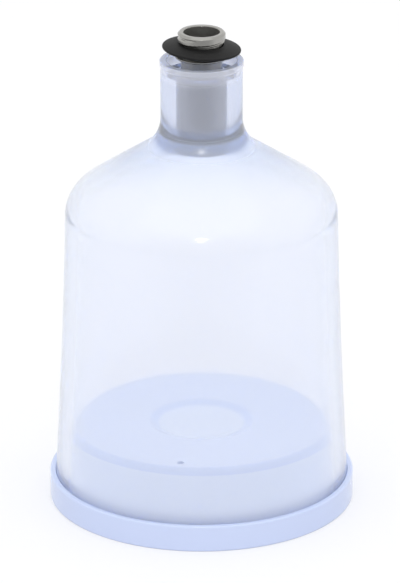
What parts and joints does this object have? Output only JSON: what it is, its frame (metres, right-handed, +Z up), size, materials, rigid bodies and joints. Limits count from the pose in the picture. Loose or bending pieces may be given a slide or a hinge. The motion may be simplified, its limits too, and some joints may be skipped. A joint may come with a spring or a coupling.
{
  "type": "paint cup with lid",
  "caption": "Translucent moulded airbrush paint cup standing mouth down on its push-on lid, with a hollow threaded metal stem and a flat rubber ring.",
  "frame": {"origin": "centre of the lid's underside, on the axis, where the part stands", "axes": "+Z up along the axis, from the lid to the threaded tip; -Y towards the viewer; +X to the right"},
  "size_m": [0.0454, 0.0454, 0.0726],
  "materials": {
    "cup_plastic": "clear bluish moulded plastic, slightly milky, glossy",
    "nickel": "turned and bright nickel plated",
    "rubber": "moulded black rubber, satin",
    "lid_plastic": "soft bluish translucent moulded plastic, satin gloss"
  },
  "bodies": {
    "lid": {"lid": "lid_plastic"},
    "cup": {"cup": "cup_plastic", "stem": "nickel", "o_ring": "rubber"}
  },
  "joints": [
    {"name": "lid_fit", "type": "slide", "parent": "lid", "child": "cup", "axis": [0, 0, 1], "range_m": [0, 0.02]}
  ]
}
